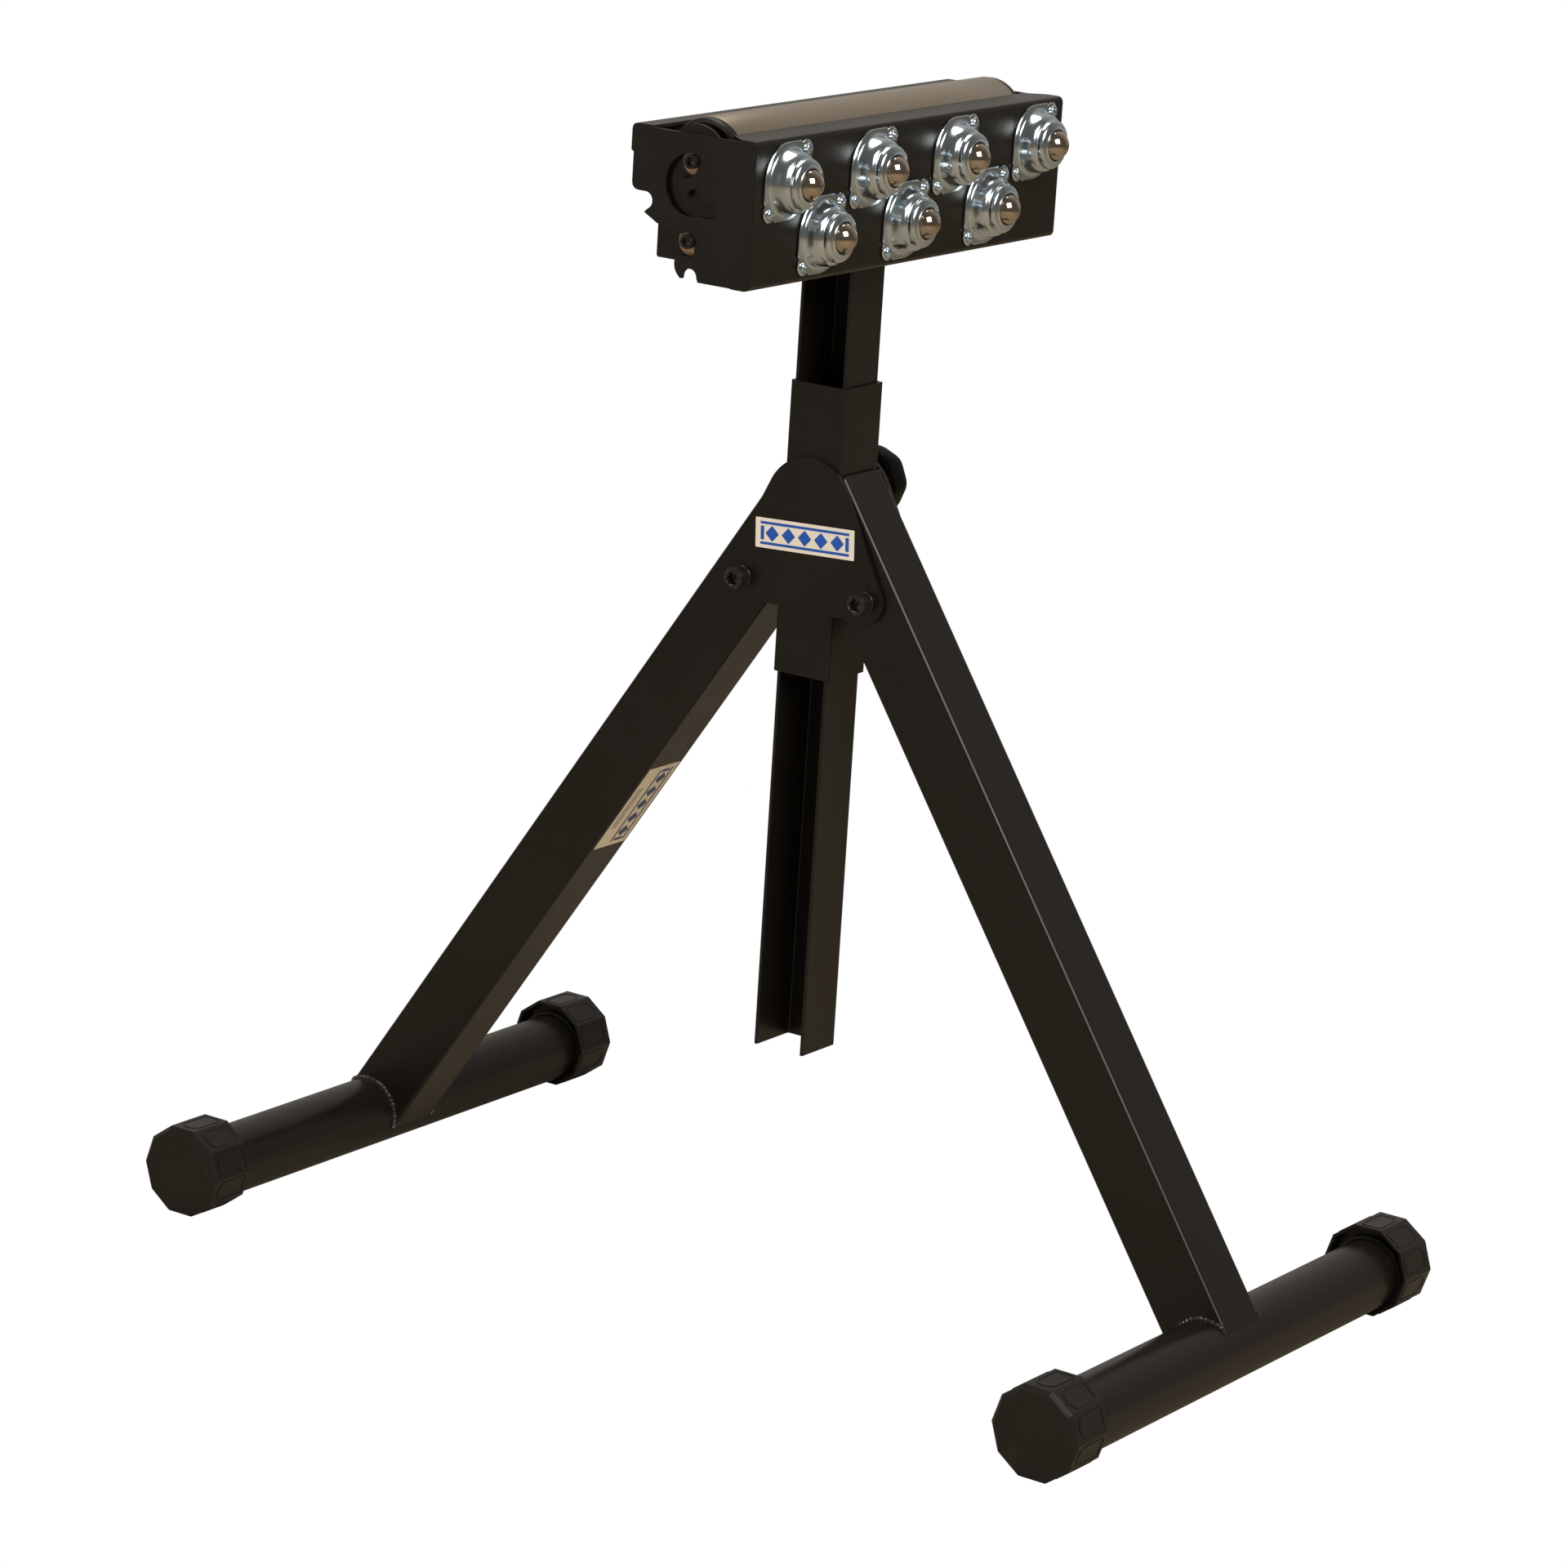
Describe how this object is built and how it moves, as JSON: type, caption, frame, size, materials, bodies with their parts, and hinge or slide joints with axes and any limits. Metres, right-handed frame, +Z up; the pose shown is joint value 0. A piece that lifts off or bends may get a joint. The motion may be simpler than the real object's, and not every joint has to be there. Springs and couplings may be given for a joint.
{
  "type": "folding roller stand",
  "caption": "Folding two-legged work support whose sliding post carries a roller and a plate of ball transfers, locked by a side knob.",
  "frame": {"origin": "on the floor, under the axis of the post", "axes": "+Z up along the post; X along the roller and the foot tubes, with the knob on +X; the two legs spread along Y, and the ball plate faces -Y"},
  "size_m": [0.4796, 0.805, 0.8449],
  "materials": {
    "powder_coat": "satin black powder coat",
    "cap_plastic": "matt black moulding",
    "knob_plastic": "matt black moulding",
    "plain_steel": "plain turned steel",
    "roller_steel": "dark drawn steel",
    "black_screw": "black oxide",
    "yellow_washer": "yellow zinc plate",
    "zinc_housing": "bright zinc plate",
    "ball_steel": "polished"
  },
  "bodies": {
    "frame": {"sleeve": "powder_coat", "gusset_left": "powder_coat", "gusset_right": "powder_coat", "clamp_nut": "powder_coat", "leg_bolt_front": "black_screw", "leg_bolt_back": "black_screw", "leg_bolt_washer_front": "black_screw", "leg_bolt_washer_back": "black_screw", "leg_bolt_nut_front": "black_screw", "leg_bolt_nut_back": "black_screw"},
    "front_leg": {"leg_tube_front": "powder_coat", "foot_tube_front": "powder_coat", "foot_cap_front_left": "cap_plastic", "foot_cap_front_right": "cap_plastic"},
    "back_leg": {"leg_tube_back": "powder_coat", "foot_tube_back": "powder_coat", "foot_cap_back_left": "cap_plastic", "foot_cap_back_right": "cap_plastic"},
    "clamp_stud": {"clamp_stud": "plain_steel"},
    "clamp_knob": {"clamp_knob": "knob_plastic"},
    "post": {"post": "powder_coat", "head_bracket": "powder_coat", "roller_axle": "plain_steel", "hanger_screw_upper_left": "black_screw", "hanger_screw_upper_right": "black_screw", "hanger_screw_lower_left": "black_screw", "hanger_screw_lower_right": "black_screw", "hanger_washer_lower_left": "yellow_washer", "hanger_washer_lower_right": "yellow_washer", "hanger_nut_left": "plain_steel", "hanger_nut_right": "plain_steel"},
    "roller": {"roller_tube": "roller_steel", "roller_end_left": "cap_plastic", "roller_end_right": "cap_plastic", "roller_bearing_left": "plain_steel", "roller_bearing_right": "plain_steel"},
    "swing_washers": {"hanger_washer_upper_left": "yellow_washer", "hanger_washer_upper_right": "yellow_washer"},
    "ball_plate": {"ball_plate_shell": "powder_coat", "ball_housing_1": "zinc_housing", "ball_housing_2": "zinc_housing", "ball_housing_3": "zinc_housing", "ball_housing_4": "zinc_housing", "ball_housing_5": "zinc_housing", "ball_housing_6": "zinc_housing", "ball_housing_7": "zinc_housing"},
    "ball_1": {"ball_1": "ball_steel"},
    "ball_2": {"ball_2": "ball_steel"},
    "ball_3": {"ball_3": "ball_steel"},
    "ball_4": {"ball_4": "ball_steel"},
    "ball_5": {"ball_5": "ball_steel"},
    "ball_6": {"ball_6": "ball_steel"},
    "ball_7": {"ball_7": "ball_steel"}
  },
  "joints": [
    {"name": "front_leg_fold", "type": "hinge", "parent": "frame", "child": "front_leg", "pos_m": [0, -0.0522, 0.5009], "axis": [1, 0, 0], "range_deg": [0, 33.8]},
    {"name": "back_leg_fold", "type": "hinge", "parent": "frame", "child": "back_leg", "pos_m": [0, 0.0522, 0.5009], "axis": [1, 0, 0], "range_deg": [-33.8, 0]},
    {"name": "clamp_travel", "type": "slide", "parent": "frame", "child": "clamp_stud", "axis": [1, 0, 0], "range_m": [0, 0.0046]},
    {"name": "knob_turn", "type": "hinge", "parent": "clamp_stud", "child": "clamp_knob", "pos_m": [0.05, 0, 0.5679], "axis": [1, 0, 0], "range_deg": [0, 1080]},
    {"name": "post_height", "type": "slide", "parent": "frame", "child": "post", "axis": [0, 0, 1], "range_m": [-0.1, 0.34]},
    {"name": "roller_spin", "type": "hinge", "parent": "post", "child": "roller", "pos_m": [0, 0, 0.8164], "axis": [1, 0, 0], "continuous": true},
    {"name": "washer_swing", "type": "hinge", "parent": "post", "child": "swing_washers", "pos_m": [0, 0, 0.8164], "axis": [1, 0, 0], "range_deg": [-180, 0]},
    {"name": "plate_swing", "type": "hinge", "parent": "swing_washers", "child": "ball_plate", "pos_m": [0, 0, 0.8004], "axis": [1, 0, 0], "range_deg": [0, 180]},
    {"name": "ball_1_roll", "type": "hinge", "parent": "ball_plate", "child": "ball_1", "pos_m": [-0.15105, -0.0685, 0.807], "axis": [1, 0, 0], "continuous": true},
    {"name": "ball_2_roll", "type": "hinge", "parent": "ball_plate", "child": "ball_2", "pos_m": [-0.05035, -0.0685, 0.807], "axis": [1, 0, 0], "continuous": true},
    {"name": "ball_3_roll", "type": "hinge", "parent": "ball_plate", "child": "ball_3", "pos_m": [0.05035, -0.0685, 0.807], "axis": [1, 0, 0], "continuous": true},
    {"name": "ball_4_roll", "type": "hinge", "parent": "ball_plate", "child": "ball_4", "pos_m": [0.15105, -0.0685, 0.807], "axis": [1, 0, 0], "continuous": true},
    {"name": "ball_5_roll", "type": "hinge", "parent": "ball_plate", "child": "ball_5", "pos_m": [-0.10765, -0.0685, 0.7672], "axis": [1, 0, 0], "continuous": true},
    {"name": "ball_6_roll", "type": "hinge", "parent": "ball_plate", "child": "ball_6", "pos_m": [-0.00695, -0.0685, 0.7672], "axis": [1, 0, 0], "continuous": true},
    {"name": "ball_7_roll", "type": "hinge", "parent": "ball_plate", "child": "ball_7", "pos_m": [0.09375, -0.0685, 0.7672], "axis": [1, 0, 0], "continuous": true}
  ],
  "couplings": [
    {"joint": "clamp_travel", "follows": "knob_turn", "m_per_rad": 0.00023873},
    {"joint": "washer_swing", "follows": "plate_swing", "ratio": -1}
  ]
}
